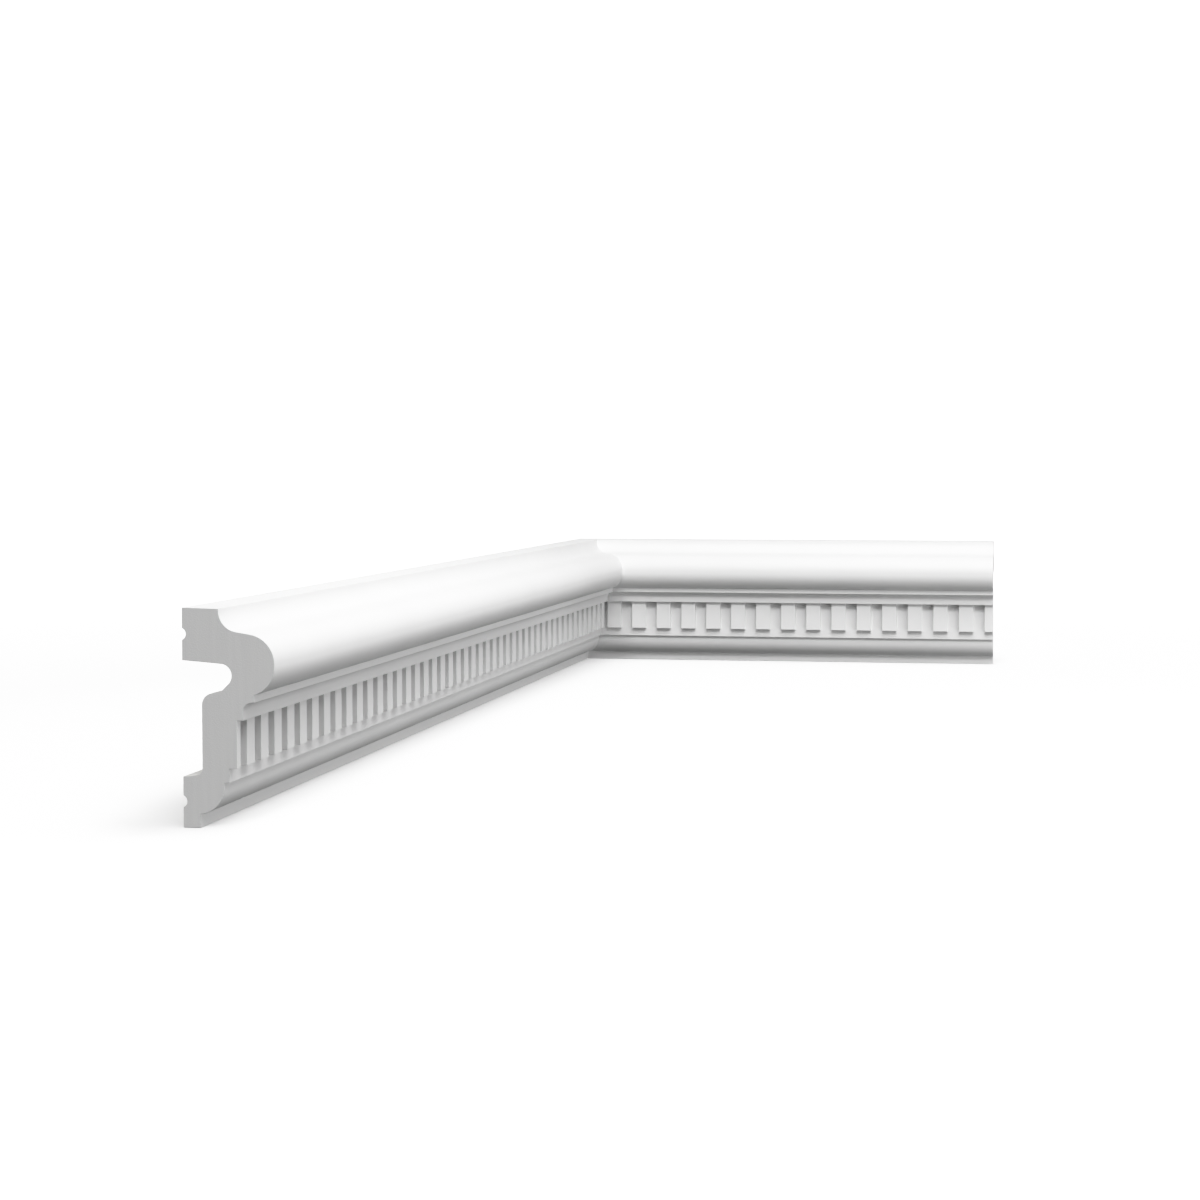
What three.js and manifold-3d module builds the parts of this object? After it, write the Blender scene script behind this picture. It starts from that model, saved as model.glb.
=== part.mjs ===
import * as THREE from 'three';
import { mergeVertices } from 'three/addons/utils/BufferGeometryUtils.js';
import Module from 'manifold-3d';

// Dentil moulding, two lengths mitred round an inside corner.
// Millimetres, +Z up. The origin is at the middle of the bounding box, on the underside.
// The right length runs along +X with its back towards +Y, the left length runs along -Y with its
// back towards -X. Their backs meet at the far left.

// Lengths along the backs, from the corner to the square cut
const leftLength = 685.5;
const rightLength = 240;
const mitreGap = 0.3;

// Heights and depths of the section, measured from the underside and from the back
const height = 70;
const topDepth = 12;
const topFall = 0.3;

// Cavetto below the top, and the slanted run that joins it to the torus
const cavettoRadius = 6.85;
const cavettoHeight = 69.2;
const runSlope = 11.7;

// Torus, two arcs with a short upright between them
const torusReach = 30.35;
const torusRadius = 9.45;
const torusHeight = 52.35;
const torusUpright = 0.8;

// Fillet below the torus, and the cove that falls from it to the overhang's edge
const filletDepth = 23.6;
const filletFoot = 40.1;
const coveRadius = 3.1;
const coveFace = 19.9;
const overhangDepth = 19.75;
const overhangFoot = 34.3;

// Dentil band: a sunk ground with upright blocks that hang from the overhang
const groundDepth = 15.35;
const groundFoot = 14.5;
const dentilDepth = 17.9;
const dentilFoot = 19;
const dentilWidth = 8;
const dentilPitch = 14.4;
const dentilStart = 19.4;
const dentilRoot = 1;

// Ovolo and the plain fillet at the foot
const ovoloRadius = 8.75;
const ovoloReach = 13.65;
const ovoloHeight = 13.1;
const footDepth = 5.75;

// Back: two glue pads with a round groove each, and the hollow between them
const grooveRadius = 2;
const grooveDepth = 1.25;
const grooveInset = 8.4;
const upperPadFoot = 53.3;
const lowerPadTop = 16.3;
const pocketRadius = 3.75;
const pocketReach = 16.25;
const pocketHeight = 48.55;
const pocketTopSlope = 4.9;
const chamferSlope = 45;
const chamferFoot = 43.8;
const shoulderRadius = 3.8;
const shoulderSlope = 14.5;
const hollowDepth = 6.4;
const ledgeRadius = 2.3;
const ledgeRise = 0.4;

// Degrees between two points of a round stretch
const arcStep = 9;

const moulded = { color: 0xf1f1ef, roughness: 0.62, metalness: 0 };

const { cos, sin, tan, acos, ceil, abs, PI } = Math;
const radians = (degrees) => (degrees * PI) / 180;
const degrees = (angle) => (angle * 180) / PI;

function pointOnCircle(depth, level, radius, turn) {
  return [depth + radius * cos(radians(turn)), level + radius * sin(radians(turn))];
}

// Points of a circular arc, both ends included
function arc(depth, level, radius, from, to) {
  const steps = ceil(abs(to - from) / arcStep);
  const turns = Array.from({ length: steps + 1 }, (_, i) => from + ((to - from) * i) / steps);
  return turns.map((turn) => pointOnCircle(depth, level, radius, turn));
}

// Groove of a glue pad, a circle whose centre lies behind the back face
function groove(level) {
  const centre = grooveDepth - grooveRadius;
  const half = degrees(acos(-centre / grooveRadius));
  return arc(centre, level, grooveRadius, half, -half);
}

// Foot: underside, plain fillet and ovolo, up to the bottom of the dentil band
function footOutline() {
  const centre = ovoloReach - ovoloRadius;
  const lowest = -degrees(acos((footDepth - centre) / ovoloRadius));
  return [
    [0, 0],
    [footDepth, 0],
    ...arc(centre, ovoloHeight, ovoloRadius, lowest, 0),
    [ovoloReach, groundFoot],
    [groundDepth, groundFoot],
  ];
}

// Overhang above the dentils: its edge, the cove and the underside of the fillet
function overhangOutline() {
  return [
    [groundDepth, overhangFoot],
    [overhangDepth, overhangFoot],
    ...arc(coveFace + coveRadius, filletFoot - coveRadius, coveRadius, 180, 90),
    [filletDepth, filletFoot],
  ];
}

// Head: fillet, torus, slanted run, cavetto and top
function headOutline() {
  const centre = torusReach - torusRadius;
  const lowest = -degrees(acos((filletDepth - centre) / torusRadius));
  return [
    ...arc(centre, torusHeight - torusUpright, torusRadius, lowest, 0),
    ...arc(centre, torusHeight, torusRadius, 0, 90 - runSlope),
    ...arc(topDepth + cavettoRadius, cavettoHeight, cavettoRadius, 270 - runSlope, 180),
    [topDepth, height - topFall],
    [0, height],
  ];
}

// Back, from the top down: upper pad, deep pocket, shoulder, shallow hollow, ledge and lower pad
function backOutline() {
  const pocketCentre = pocketReach - pocketRadius;
  const chamferTurn = chamferSlope - 90;
  const chamferHead = pointOnCircle(pocketCentre, pocketHeight, pocketRadius, chamferTurn);
  const chamferDepth = chamferHead[0] - (chamferHead[1] - chamferFoot) / tan(radians(chamferSlope));
  const shoulderTurn = 90 + shoulderSlope;
  const shoulderCentre = hollowDepth + shoulderRadius;
  const shoulderHead = pointOnCircle(shoulderCentre, 0, shoulderRadius, shoulderTurn);
  const shoulderTop = chamferFoot - (chamferDepth - shoulderHead[0]) * tan(radians(shoulderSlope));
  const shoulderLevel = shoulderTop - shoulderHead[1];
  const ledgeLevel = lowerPadTop + ledgeRise + ledgeRadius;
  return [
    ...groove(height - grooveInset),
    [0, upperPadFoot],
    ...arc(pocketCentre, pocketHeight, pocketRadius, 90 - pocketTopSlope, chamferTurn),
    [chamferDepth, chamferFoot],
    ...arc(shoulderCentre, shoulderLevel, shoulderRadius, shoulderTurn, 180),
    ...arc(hollowDepth - ledgeRadius, ledgeLevel, ledgeRadius, 0, -90),
    [0, lowerPadTop],
    ...groove(grooveInset),
  ];
}

function sectionOutline() {
  return [...footOutline(), ...overhangOutline(), ...headOutline(), ...backOutline()];
}

const wasm = await Module();
wasm.setup();

function toSolid(geometry) {
  geometry.deleteAttribute('normal');
  geometry.deleteAttribute('uv');
  const merged = mergeVertices(geometry, 1e-4);
  return new wasm.Manifold(new wasm.Mesh({
    numProp: 3,
    vertProperties: new Float32Array(merged.attributes.position.array),
    triVerts: new Uint32Array(merged.index.array),
  }));
}

function toGeometry(solid) {
  const mesh = solid.getMesh();
  const geometry = new THREE.BufferGeometry();
  geometry.setAttribute('position', new THREE.BufferAttribute(mesh.vertProperties, 3));
  geometry.setIndex(new THREE.BufferAttribute(mesh.triVerts, 1));
  geometry.computeVertexNormals();
  return geometry;
}

// One plain length: the section drawn out along +Z, with side 1 or -1 telling which way its front
// looks along X. The end at the corner is slanted, because each point starts as far out as it is deep.
function plainLength(length, side) {
  const shape = new THREE.Shape(sectionOutline().map(([depth, level]) => new THREE.Vector2(side * depth, level)));
  const geometry = new THREE.ExtrudeGeometry(shape, { depth: length, bevelEnabled: false });
  const position = geometry.attributes.position;
  const setBack = (mitreGap / 2) * Math.SQRT2;
  for (let i = 0; i < position.count; i += 1) {
    if (position.getZ(i) < length / 2) {
      position.setZ(i, side * position.getX(i) + setBack);
    }
  }
  return toSolid(geometry);
}

// One dentil, sunk into the ground and into the overhang; the last one is cut with the length
function dentil(start, length, side) {
  const end = Math.min(start + dentilWidth, length);
  const deep = dentilDepth - groundDepth + dentilRoot;
  const tall = overhangFoot - dentilFoot + dentilRoot;
  const block = new THREE.BoxGeometry(deep, tall, end - start);
  block.translate(side * (dentilDepth - deep / 2), dentilFoot + tall / 2, (start + end) / 2);
  return toSolid(block);
}

function mouldedLength(name, length, side) {
  let solid = plainLength(length, side);
  for (let start = dentilStart; start < length; start += dentilPitch) {
    solid = solid.add(dentil(start, length, side));
  }
  const mesh = new THREE.Mesh(toGeometry(solid), new THREE.MeshStandardMaterial(moulded));
  mesh.name = name;
  return mesh;
}

const corner = new THREE.Group();
corner.position.set(-rightLength / 2, leftLength / 2, 0);

const left = mouldedLength('left_length', leftLength, 1);
left.rotation.set(PI / 2, 0, 0);
corner.add(left);

const right = mouldedLength('right_length', rightLength, -1);
right.rotation.set(PI / 2, 0, PI / 2, 'ZYX');
corner.add(right);

const moulding = new THREE.Group();
moulding.add(corner);

export default moulding;
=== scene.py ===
import math
import bpy
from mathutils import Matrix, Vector


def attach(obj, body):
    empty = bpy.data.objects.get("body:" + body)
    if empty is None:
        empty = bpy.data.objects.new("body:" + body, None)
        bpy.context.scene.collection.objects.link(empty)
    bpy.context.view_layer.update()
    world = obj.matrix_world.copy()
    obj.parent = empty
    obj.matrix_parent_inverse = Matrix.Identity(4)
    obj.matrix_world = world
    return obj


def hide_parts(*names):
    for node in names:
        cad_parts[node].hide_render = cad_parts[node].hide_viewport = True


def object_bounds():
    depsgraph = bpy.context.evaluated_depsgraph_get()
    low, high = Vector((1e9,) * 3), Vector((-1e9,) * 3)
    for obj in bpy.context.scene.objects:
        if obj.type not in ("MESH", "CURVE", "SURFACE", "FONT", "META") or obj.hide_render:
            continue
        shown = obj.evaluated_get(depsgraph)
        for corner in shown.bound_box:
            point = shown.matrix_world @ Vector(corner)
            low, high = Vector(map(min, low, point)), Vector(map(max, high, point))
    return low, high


# White dentil moulding, two lengths mitred round an inside corner. Metres, +Z up.
# One repeat of the section with its dentil is modelled, arrayed along the length, cut square at the
# free end, softened along its arrises and then cut at 45 degrees at the mitre.

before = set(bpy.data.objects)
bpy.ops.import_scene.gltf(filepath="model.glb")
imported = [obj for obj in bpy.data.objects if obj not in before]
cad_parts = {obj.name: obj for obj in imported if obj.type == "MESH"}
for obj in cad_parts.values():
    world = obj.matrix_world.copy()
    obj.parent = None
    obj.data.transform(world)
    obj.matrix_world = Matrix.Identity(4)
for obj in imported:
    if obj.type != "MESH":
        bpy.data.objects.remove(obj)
cadLow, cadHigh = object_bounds()
up = Vector((0, 0, 1))
corner = Vector((cadLow.x, cadHigh.y, 0))  # where the backs of the two lengths meet

section = {  # depths from the back, heights from the underside, slopes in degrees
    "height": 0.070, "topDepth": 0.0120, "topFall": 0.0003,
    "cavettoRadius": 0.00685, "cavettoHeight": 0.0692, "runSlope": 11.7,
    "torusReach": 0.03035, "torusRadius": 0.00945, "torusHeight": 0.05235, "torusUpright": 0.0008,
    "filletDepth": 0.0236, "filletFoot": 0.0401,
    "coveRadius": 0.0031, "coveFace": 0.0199,
    "overhangDepth": 0.01975, "overhangFoot": 0.0343,
    "groundDepth": 0.01535, "groundFoot": 0.0145,
    "ovoloRadius": 0.00875, "ovoloReach": 0.01365, "ovoloHeight": 0.0131, "footDepth": 0.00575,
    "grooveRadius": 0.0020, "grooveDepth": 0.00125, "grooveInset": 0.0084,
    "upperPadFoot": 0.0533, "lowerPadTop": 0.0163,
    "pocketRadius": 0.00375, "pocketReach": 0.01625, "pocketHeight": 0.04855, "pocketTopSlope": 4.9,
    "chamferSlope": 45, "chamferFoot": 0.0438,
    "shoulderRadius": 0.0038, "shoulderSlope": 14.5,
    "hollowDepth": 0.0064, "ledgeRadius": 0.0023, "ledgeRise": 0.0004,
    "arcStep": 3.5,  # degrees between two points of a round stretch
}

dentil = {"face": 0.0179, "foot": 0.0190, "width": 0.0080, "pitch": 0.0144, "start": 0.0194, "root": 0.0010}

trim = {
    "arris": 0.00028, "arrisSegments": 3, "arrisAngle": 28,  # softened edges left by the mould and the saw
    "jointGap": 0.00002, "smoothAngle": 32,
    "spareRepeats": 2,  # repeats ahead of the first whole dentil, mostly cleared by the mitre
    "weld": 1e-6, "outlineWeld": 1e-5, "sawWeld": 1e-7,  # points closer than this become one
    "endFacing": 0.99, "endArea": 1e-4,  # tell a whole section from the flank of a dentil
}


def makeActive(thing):
    bpy.ops.object.select_all(action="DESELECT")
    thing.select_set(True)
    bpy.context.view_layer.objects.active = thing


def applyModifier(thing, kind, values):
    makeActive(thing)
    modifier = thing.modifiers.new(kind, kind)
    for key, value in values.items():
        setattr(modifier, key, value)
    bpy.ops.object.modifier_apply(modifier=modifier.name)


def editWithFaces(thing, test):
    # leaves the piece in edit mode with only the faces that pass the test selected
    makeActive(thing)
    bpy.ops.object.mode_set(mode="EDIT")
    bpy.ops.mesh.select_mode(type="FACE")
    bpy.ops.mesh.select_all(action="DESELECT")
    bpy.ops.object.mode_set(mode="OBJECT")
    for face in thing.data.polygons:
        face.select = test(face)
    bpy.ops.object.mode_set(mode="EDIT")


def cutAway(thing, point, normal):
    # saws the piece at a plane, keeps what lies behind the normal and closes the cut
    makeActive(thing)
    bpy.ops.object.mode_set(mode="EDIT")
    bpy.ops.mesh.select_all(action="SELECT")
    bpy.ops.mesh.bisect(
        plane_co=point, plane_no=normal, use_fill=True, clear_outer=True, threshold=trim["sawWeld"])
    bpy.ops.object.mode_set(mode="OBJECT")


def firstRepeat():
    # distance from the corner to where the arrayed repeats begin
    gap = dentil["pitch"] - dentil["width"]
    return dentil["start"] - gap / 2 - trim["spareRepeats"] * dentil["pitch"]


def mitreWay(run):
    # looks straight out of the mitred face
    return (run["depthWay"] - run["runWay"]).normalized()


def pointOnCircle(depth, level, radius, turn):
    return depth + radius * math.cos(math.radians(turn)), level + radius * math.sin(math.radians(turn))


class Pen:
    # draws the section as one chain of edges, in the plane across the length
    def __init__(self, run):
        self.run = run
        self.base = corner + run["runWay"] * firstRepeat()
        self.at = self.base.copy()
        bpy.ops.object.select_all(action="DESELECT")
        bpy.ops.mesh.primitive_plane_add()  # merged to the one point that the chain grows from
        self.thing = bpy.context.object
        bpy.ops.object.mode_set(mode="EDIT")
        bpy.ops.mesh.select_mode(type="VERT")
        bpy.ops.mesh.select_all(action="SELECT")
        bpy.ops.mesh.merge(type="CENTER")
        bpy.ops.transform.translate(value=self.base)

    def place(self, depth, level):
        return self.base + self.run["depthWay"] * depth + up * level

    def line(self, depth, level):
        target = self.place(depth, level)
        bpy.ops.mesh.extrude_region_move(TRANSFORM_OT_translate={"value": target - self.at})
        self.at = target

    def arc(self, depth, level, radius, start, end):
        first, last = (pointOnCircle(depth, level, radius, turn) for turn in (start, end))
        if (self.place(*first) - self.at).length > trim["weld"]:
            self.line(*first)
        bpy.ops.mesh.spin(
            steps=math.ceil(abs(end - start) / section["arcStep"]), angle=math.radians(end - start),
            center=self.place(depth, level), axis=up.cross(self.run["depthWay"]))
        self.at = self.place(*last)

    def close(self):
        bpy.ops.mesh.select_all(action="SELECT")
        bpy.ops.mesh.remove_doubles(threshold=trim["outlineWeld"])
        bpy.ops.mesh.edge_face_add()


def drawFoot(pen):
    # plain fillet and ovolo, up to the bottom of the dentil band
    radius = section["ovoloRadius"]
    centre = section["ovoloReach"] - radius
    lowest = -math.degrees(math.acos((section["footDepth"] - centre) / radius))
    pen.line(section["footDepth"], 0)
    pen.arc(centre, section["ovoloHeight"], radius, lowest, 0)
    pen.line(section["ovoloReach"], section["groundFoot"])
    pen.line(section["groundDepth"], section["groundFoot"])


def drawOverhang(pen):
    # the edge above the dentils, the cove and the underside of the fillet
    radius = section["coveRadius"]
    pen.line(section["groundDepth"], section["overhangFoot"])
    pen.line(section["overhangDepth"], section["overhangFoot"])
    pen.arc(section["coveFace"] + radius, section["filletFoot"] - radius, radius, 180, 90)
    pen.line(section["filletDepth"], section["filletFoot"])


def drawHead(pen):
    # fillet, torus, slanted run, cavetto and top
    torus, cavetto, slope = section["torusRadius"], section["cavettoRadius"], section["runSlope"]
    centre = section["torusReach"] - torus
    lowest = -math.degrees(math.acos((section["filletDepth"] - centre) / torus))
    pen.arc(centre, section["torusHeight"] - section["torusUpright"], torus, lowest, 0)
    pen.arc(centre, section["torusHeight"], torus, 0, 90 - slope)
    pen.arc(section["topDepth"] + cavetto, section["cavettoHeight"], cavetto, 270 - slope, 180)
    pen.line(section["topDepth"], section["height"] - section["topFall"])
    pen.line(0, section["height"])


def drawGroove(pen, level):
    # glue groove, a circle whose centre lies behind the back face
    radius = section["grooveRadius"]
    centre = section["grooveDepth"] - radius
    half = math.degrees(math.acos(-centre / radius))
    pen.arc(centre, level, radius, half, -half)


def drawBack(pen):
    # upper pad, deep pocket, shoulder, shallow hollow, ledge and lower pad
    pocket, shoulder, ledge = section["pocketRadius"], section["shoulderRadius"], section["ledgeRadius"]
    chamferFoot = section["chamferFoot"]
    pocketCentre = section["pocketReach"] - pocket
    chamferTurn = section["chamferSlope"] - 90
    chamferHead = pointOnCircle(pocketCentre, section["pocketHeight"], pocket, chamferTurn)
    chamferFall = math.tan(math.radians(section["chamferSlope"]))
    chamferDepth = chamferHead[0] - (chamferHead[1] - chamferFoot) / chamferFall
    shoulderTurn = 90 + section["shoulderSlope"]
    shoulderCentre = section["hollowDepth"] + shoulder
    shoulderHead = pointOnCircle(shoulderCentre, 0, shoulder, shoulderTurn)
    shoulderFall = math.tan(math.radians(section["shoulderSlope"]))
    shoulderTop = chamferFoot - (chamferDepth - shoulderHead[0]) * shoulderFall
    ledgeLevel = section["lowerPadTop"] + section["ledgeRise"] + ledge
    drawGroove(pen, section["height"] - section["grooveInset"])
    pen.line(0, section["upperPadFoot"])
    pen.arc(pocketCentre, section["pocketHeight"], pocket, 90 - section["pocketTopSlope"], chamferTurn)
    pen.line(chamferDepth, chamferFoot)
    pen.arc(shoulderCentre, shoulderTop - shoulderHead[1], shoulder, shoulderTurn, 180)
    pen.arc(section["hollowDepth"] - ledge, ledgeLevel, ledge, 0, -90)
    pen.line(0, section["lowerPadTop"])
    drawGroove(pen, section["grooveInset"])
    pen.line(0, 0)


def drawSection(run):
    pen = Pen(run)
    for stretch in (drawFoot, drawOverhang, drawHead, drawBack):
        stretch(pen)
    pen.close()
    return pen.thing


def addDentil(run):
    deep = dentil["face"] - section["groundDepth"] + dentil["root"]
    tall = section["overhangFoot"] - dentil["foot"] + dentil["root"]
    along = firstRepeat() + dentil["pitch"] / 2
    middle = (run["depthWay"] * (dentil["face"] - deep / 2) + run["runWay"] * along
              + up * (dentil["foot"] + tall / 2))
    size = run["depthWay"] * deep + run["runWay"] * dentil["width"] + up * tall
    bpy.ops.object.select_all(action="DESELECT")
    bpy.ops.mesh.primitive_cube_add(size=1, location=corner + middle, scale=[abs(side) for side in size])
    bpy.ops.object.transform_apply(location=True, rotation=False, scale=True)
    return bpy.context.object


def isWholeSection(face, run):
    return abs(face.normal.dot(run["runWay"])) > trim["endFacing"] and face.area > trim["endArea"]


def makeRepeat(run):
    # one dentil with the stretch of moulding it sits on, open at both ends
    thing = drawSection(run)
    bpy.ops.mesh.extrude_region_move(TRANSFORM_OT_translate={"value": run["runWay"] * dentil["pitch"]})
    bpy.ops.mesh.select_all(action="SELECT")
    bpy.ops.mesh.normals_make_consistent(inside=False)
    bpy.ops.object.mode_set(mode="OBJECT")
    block = addDentil(run)
    applyModifier(thing, "BOOLEAN", {"operation": "UNION", "solver": "EXACT", "object": block})
    bpy.data.objects.remove(block)
    editWithFaces(thing, lambda face: isWholeSection(face, run))
    bpy.ops.mesh.delete(type="FACE")
    bpy.ops.object.mode_set(mode="OBJECT")
    return thing


def makeLength(run):
    thing = makeRepeat(run)
    step = run["runWay"] * dentil["pitch"]
    repeats = math.ceil((run["length"] - firstRepeat()) / dentil["pitch"])
    applyModifier(thing, "ARRAY", {
        "count": repeats, "use_relative_offset": False, "use_constant_offset": True,
        "constant_offset_displace": step, "use_merge_vertices": True, "merge_threshold": trim["weld"]})
    cutAway(thing, corner + run["runWay"] * run["length"], run["runWay"])
    applyModifier(thing, "BEVEL", {
        "width": trim["arris"], "segments": trim["arrisSegments"], "limit_method": "ANGLE",
        "angle_limit": math.radians(trim["arrisAngle"])})
    cutAway(thing, corner - mitreWay(run) * trim["jointGap"], mitreWay(run))
    thing.name = thing.data.name = run["piece"]
    makeActive(thing)
    bpy.ops.object.shade_smooth_by_angle(angle=math.radians(trim["smoothAngle"]))
    applyModifier(thing, "WEIGHTED_NORMAL", {"keep_sharp": True})  # flats stay flat beside the soft edges
    print(run["piece"], repeats, "repeats,", len(thing.data.polygons), "faces")
    return thing


runs = (
    {"piece": "leftLength", "node": "left_length", "length": cadHigh.y - cadLow.y,
     "depthWay": Vector((1, 0, 0)), "runWay": Vector((0, -1, 0))},
    {"piece": "rightLength", "node": "right_length", "length": cadHigh.x - cadLow.x,
     "depthWay": Vector((0, -1, 0)), "runWay": Vector((1, 0, 0))},
)

noiseMiddle = (0.3, 0.7)  # noise gathers here, so this stretch is spread over the whole range

moulded = {  # primed skin of the fronts and of the top
    "dark": (0.775, 0.775, 0.773), "light": (0.797, 0.797, 0.795), "cloud": 0.045, "cloudDetail": 4,
    "sheen": 0.015, "sheenDetail": 3, "roughness": (0.46, 0.58), "specular": 0.35,
    "grain": 0.0007, "grainDetail": 3, "grainRise": 0.000012,
}

cutFoam = {  # sawn faces of the free ends and of the mitre
    "dark": (0.822, 0.822, 0.820), "light": (0.846, 0.846, 0.843), "roughness": 0.85, "specular": 0.2,
    "cell": 0.00045, "cellShade": 0.25, "cellRise": 0.00003,
    "streak": 0.0012, "streakDetail": 3, "streakStretch": (1, 1, 0.06),  # left upright by the saw
}

backSkin = {  # unprimed skin behind
    "dark": (0.74, 0.735, 0.718), "light": (0.83, 0.828, 0.813), "cloud": 0.018, "cloudDetail": 5,
    "roughness": (0.68, 0.85), "specular": 0.3,
    "flow": 0.0022, "flowDetail": 4, "flowStretch": (0.05, 0.05, 1), "flowRise": 0.00006,  # along the mould
    "grain": 0.0009, "grainDetail": 3, "grainShare": 0.3,
}


def addNode(tree, kind, values, **settings):
    node = tree.nodes.new(kind)
    for key, value in settings.items():
        setattr(node, key, value)
    for key, value in values.items():
        if isinstance(value, bpy.types.NodeSocket):
            tree.links.new(value, node.inputs[key])
        else:
            node.inputs[key].default_value = value
    return node


def startMaterial(name, specular):
    material = bpy.data.materials.new(name)
    material.use_nodes = True
    tree = material.node_tree
    shader = tree.nodes["Principled BSDF"]
    shader.inputs["Specular IOR Level"].default_value = specular
    return material, tree, shader, addNode(tree, "ShaderNodeTexCoord", {}).outputs["Object"]


def addNoise(tree, place, size, detail):
    values = {"Vector": place, "Scale": 1 / size, "Detail": detail}
    return addNode(tree, "ShaderNodeTexNoise", values).outputs["Fac"]


def addRange(tree, value, low, high):
    return addNode(tree, "ShaderNodeMapRange", {
        "Value": value, "From Min": noiseMiddle[0], "From Max": noiseMiddle[1],
        "To Min": low, "To Max": high}).outputs["Result"]


def addTint(tree, factor, dark, light):
    ramp = addNode(tree, "ShaderNodeValToRGB", {"Fac": factor})
    ramp.color_ramp.elements[0].color = (*dark, 1)
    ramp.color_ramp.elements[1].color = (*light, 1)
    return ramp.outputs["Color"]


def addStretched(tree, place, scale):
    return addNode(tree, "ShaderNodeMapping", {"Vector": place, "Scale": scale}).outputs["Vector"]


def addMath(tree, operation, first, second):
    return addNode(tree, "ShaderNodeMath", {0: first, 1: second}, operation=operation).outputs["Value"]


def addMean(tree, first, second):
    return addMath(tree, "MULTIPLY", addMath(tree, "ADD", first, second), 1 / 2)


def addBump(tree, shader, height, rise):
    bump = addNode(tree, "ShaderNodeBump", {"Height": height, "Distance": rise})
    tree.links.new(bump.outputs["Normal"], shader.inputs["Normal"])


def makeMoulded(look):
    material, tree, shader, place = startMaterial("moulded", look["specular"])
    cloud = addRange(tree, addNoise(tree, place, look["cloud"], look["cloudDetail"]), 0, 1)
    sheen = addRange(tree, addNoise(tree, place, look["sheen"], look["sheenDetail"]), *look["roughness"])
    tree.links.new(addTint(tree, cloud, look["dark"], look["light"]), shader.inputs["Base Color"])
    tree.links.new(sheen, shader.inputs["Roughness"])
    addBump(tree, shader, addNoise(tree, place, look["grain"], look["grainDetail"]), look["grainRise"])
    return material


def makeCutFoam(look):
    material, tree, shader, place = startMaterial("cutFoam", look["specular"])
    pores = {"Vector": place, "Scale": 1 / look["cell"]}
    cells = addNode(tree, "ShaderNodeTexVoronoi", pores).outputs["Distance"]
    drawnOut = addStretched(tree, place, look["streakStretch"])
    streaks = addRange(tree, addNoise(tree, drawnOut, look["streak"], look["streakDetail"]), 0, 1)
    shade = addMath(tree, "ADD", streaks, addMath(tree, "MULTIPLY", cells, look["cellShade"]))
    tree.links.new(addTint(tree, shade, look["dark"], look["light"]), shader.inputs["Base Color"])
    shader.inputs["Roughness"].default_value = look["roughness"]
    addBump(tree, shader, cells, look["cellRise"])
    return material


def makeBackSkin(look):
    material, tree, shader, place = startMaterial("backSkin", look["specular"])
    drawnOut = addStretched(tree, place, look["flowStretch"])
    flow = addNoise(tree, drawnOut, look["flow"], look["flowDetail"])
    cloud = addNoise(tree, place, look["cloud"], look["cloudDetail"])
    grain = addNoise(tree, place, look["grain"], look["grainDetail"])
    shade = addRange(tree, addMean(tree, flow, cloud), 0, 1)
    tree.links.new(addTint(tree, shade, look["dark"], look["light"]), shader.inputs["Base Color"])
    tree.links.new(addRange(tree, cloud, *look["roughness"]), shader.inputs["Roughness"])
    relief = addMath(tree, "ADD", flow, addMath(tree, "MULTIPLY", grain, look["grainShare"]))
    addBump(tree, shader, relief, look["flowRise"])
    return material


finish = {  # how the three finishes are told apart on a face
    "sawnFacing": 0.999, "sawnSlack": 1e-5, "mitreArea": 1e-4,
    "padSlack": 0.0001, "padDepth": 0.0004, "grooveMargin": 0.002,
    "hollowSlack": 0.0008, "pocketSlack": 0.0004,
}


def isCut(face, run):
    # the sawn end and the mitre, but not the softened edge round the end
    along = (face.center - corner).dot(run["runWay"])
    facesAlong = abs(face.normal.dot(run["runWay"])) > finish["sawnFacing"]
    atEnd = along > run["length"] - finish["sawnSlack"] and facesAlong
    atMitre = face.normal.dot(mitreWay(run)) > finish["sawnFacing"] and face.area > finish["mitreArea"]
    return atEnd or atMitre


def isBack(face, run):
    # pads, grooves and both steps of the hollow lie behind these depths
    depth = (face.center - corner).dot(run["depthWay"])
    level = face.center.z
    onLowerPad = level < section["lowerPadTop"] - finish["padSlack"]
    onUpperPad = level > section["upperPadFoot"] + finish["padSlack"]
    if onLowerPad or onUpperPad:
        inGroove = min(level, section["height"] - level) > finish["grooveMargin"]
        return depth < (section["grooveDepth"] + finish["padSlack"] if inGroove else finish["padDepth"])
    if level < section["chamferFoot"]:
        return depth < section["groundDepth"] - finish["hollowSlack"]
    return depth < section["pocketReach"] + finish["pocketSlack"]


def paint(thing, run, materials):
    for material in materials:
        thing.data.materials.append(material)
    for face in thing.data.polygons:
        face.material_index = 1 if isCut(face, run) else 2 if isBack(face, run) else 0


materials = (makeMoulded(moulded), makeCutFoam(cutFoam), makeBackSkin(backSkin))

for run in runs:
    thing = makeLength(run)
    paint(thing, run, materials)
    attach(thing, "root")
    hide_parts(run["node"])

camera = {
    "place": (0.14837, -1.09268, 0.11727), "turn": 10.1331, "tilt": 3.2733,  # degrees left and down
    "lens": 74.690, "sensor": 36.0, "clip": (0.01, 200),
}

studio = {
    "floorTone": 0.90, "floorSize": 60, "floorDrop": 0.0001,
    # painted light: the floor glows, faintly beside the mouldings and fully far out where the lamps no
    # longer reach
    "floorGlow": (0.22, 1.15), "glowReach": (0.35, 1.2),  # lifts the far floor to the backdrop's tone
    "backdrop": 2.0, "skyLight": 0.47, "groundLight": 0, "skyBlend": 0.3,
    "sunDistance": 2,
    "knee": 0.55, "whitePoint": 1.5, "shoulderPoints": 5,  # highlights roll off from knee to white point
}

plainWhite = (1, 1, 1, 1)

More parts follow.
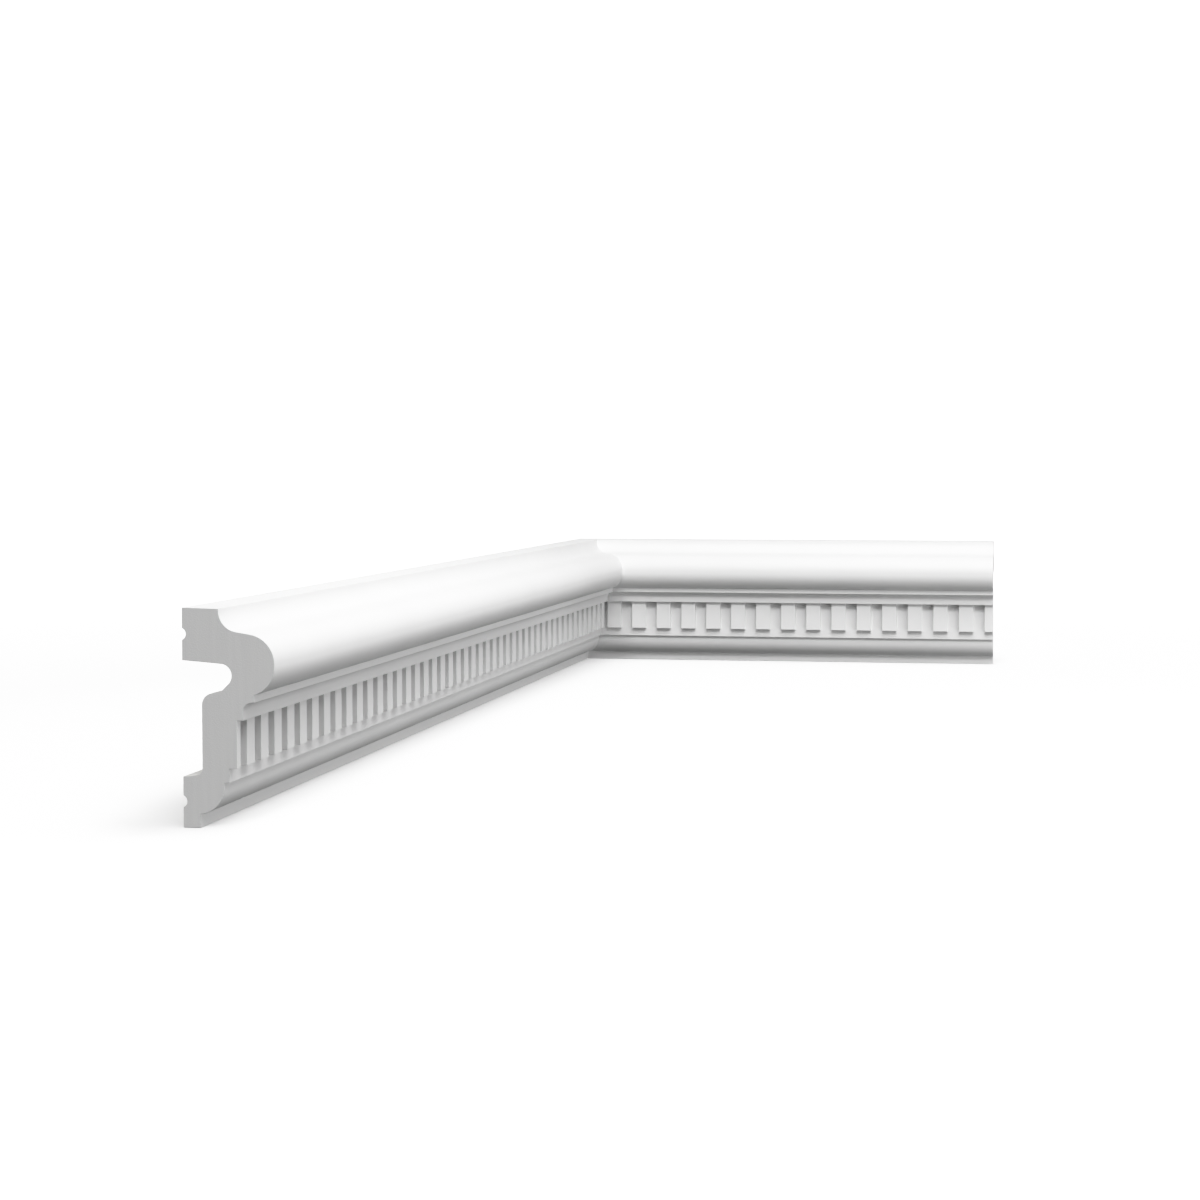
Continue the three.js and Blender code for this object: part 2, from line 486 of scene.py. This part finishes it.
suns = (  # azimuth from the front towards the right and elevation, in degrees
    {"name": "keyLight", "azimuth": 0, "elevation": 40, "strength": 0.726, "softness": 14},
    {"name": "rightLight", "azimuth": 30, "elevation": 40, "strength": 0.257, "softness": 14},
    {"name": "lowSideLight", "azimuth": 120, "elevation": -5, "strength": 0.292, "softness": 14},
    {"name": "backLight", "azimuth": 225, "elevation": 8, "strength": 1.06, "softness": 14},
)

lamps = (  # soft lamps near the mitre, which leave the sawn end in half shade
    {"name": "topLamp", "place": (0.10, -0.05, 0.75), "watts": 9.82, "radius": 0.14},
    {"name": "middleLamp", "place": (0.15, -0.30, 0.60), "watts": 5.13, "radius": 0.14},
    {"name": "frontLamp", "place": (0.20, -0.70, 0.60), "watts": 3.89, "radius": 0.14},
    {"name": "cornerLamp", "place": (0.35, 0, 0.60), "watts": 3.19, "radius": 0.14},
    {"name": "sideLamp", "place": (0.60, -0.20, 0), "watts": 2.74, "radius": 0.14},
    {"name": "lowLamp", "place": (0.70, 0.10, -0.30), "watts": 6.2, "radius": 0.14},
)


def addCamera():
    bpy.ops.object.camera_add(location=camera["place"])
    thing = bpy.context.object
    thing.rotation_euler = (math.radians(90 - camera["tilt"]), 0, math.radians(camera["turn"]))
    thing.data.lens = camera["lens"]
    thing.data.sensor_width = camera["sensor"]
    thing.data.clip_start, thing.data.clip_end = camera["clip"]
    bpy.context.scene.camera = thing


def addFloor():
    bpy.ops.mesh.primitive_plane_add(size=studio["floorSize"], location=(0, 0, -studio["floorDrop"]))
    floor = bpy.context.object
    floor.name = "floor"
    floor.visible_diffuse = False  # a floor that throws no light keeps the shade under the mouldings
    floor.visible_glossy = False
    floor.visible_shadow = False
    material, tree, shader, place = startMaterial("floorPale", 0)
    shader.inputs["Base Color"].default_value = (studio["floorTone"],) * 3 + (1,)
    shader.inputs["Emission Color"].default_value = plainWhite
    # painted light: the floor's glow grows with distance from the corner
    away = addNode(tree, "ShaderNodeVectorMath", {0: place}, operation="LENGTH").outputs["Value"]
    nearGlow, farGlow = studio["floorGlow"]
    nearReach, farReach = studio["glowReach"]
    glow = addNode(tree, "ShaderNodeMapRange", {
        "Value": away, "From Min": nearReach, "From Max": farReach, "To Min": nearGlow, "To Max": farGlow})
    tree.links.new(glow.outputs["Result"], shader.inputs["Emission Strength"])
    shader.inputs["Roughness"].default_value = 1
    floor.data.materials.append(material)


def addSky():
    # pale backdrop for the camera, and for the mouldings a soft light that fades out below the horizon
    world = bpy.data.worlds.new("studio")
    world.use_nodes = True
    tree = world.node_tree
    way = addNode(tree, "ShaderNodeTexCoord", {}).outputs["Generated"]
    height = addNode(tree, "ShaderNodeSeparateXYZ", {"Vector": way}).outputs["Z"]
    lit = addNode(tree, "ShaderNodeMapRange", {
        "Value": height, "From Min": -studio["skyBlend"], "From Max": studio["skyBlend"],
        "To Min": studio["groundLight"], "To Max": studio["skyLight"]}).outputs["Result"]
    seen = addNode(tree, "ShaderNodeLightPath", {}).outputs["Is Camera Ray"]
    strength = addNode(tree, "ShaderNodeMix", {"Factor": seen, "A": lit, "B": studio["backdrop"]})
    background = tree.nodes["Background"]
    background.inputs["Color"].default_value = plainWhite
    tree.links.new(strength.outputs["Result"], background.inputs["Strength"])
    bpy.context.scene.world = world


def addSun(values):
    azimuth, elevation = math.radians(values["azimuth"]), math.radians(values["elevation"])
    reach, rise = math.cos(elevation), math.sin(elevation)
    source = Vector((math.sin(azimuth) * reach, -math.cos(azimuth) * reach, rise))
    bpy.ops.object.light_add(type="SUN", location=source * studio["sunDistance"])
    thing = bpy.context.object
    thing.rotation_euler = source.to_track_quat("Z", "Y").to_euler()
    thing.name = values["name"]
    thing.data.energy = values["strength"]
    thing.data.angle = math.radians(values["softness"])


def addLamp(values):
    bpy.ops.object.light_add(type="POINT", location=values["place"])
    thing = bpy.context.object
    thing.name = values["name"]
    thing.data.energy = values["watts"]
    thing.data.shadow_soft_size = values["radius"]


def setExposure():
    # soft shoulder, so that the bright upper mouldings keep their shading against the pale backdrop
    knee, whitePoint = studio["knee"], studio["whitePoint"]
    view = bpy.context.scene.view_settings
    view.view_transform = "Standard"
    view.use_curve_mapping = True
    view.curve_mapping.white_level = (whitePoint,) * 3
    curve = view.curve_mapping.curves[3]  # acts on all three colours
    curve.points[-1].location = (1, 1)
    steepness = (whitePoint - knee) / (1 - knee)
    for number in range(studio["shoulderPoints"]):
        part = number / studio["shoulderPoints"]
        light = knee + (whitePoint - knee) * part
        shown = knee + (1 - knee) * (1 - (1 - part) ** steepness)
        curve.points.new(light / whitePoint, shown)
    for number, point in enumerate(curve.points):
        point.handle_type = "VECTOR" if number < 2 else "AUTO_CLAMPED"  # straight up to the knee
    view.curve_mapping.update()


addCamera()
addFloor()
addSky()
for values in suns:
    addSun(values)
for values in lamps:
    addLamp(values)
setExposure()
print("camera, floor and lights ready")
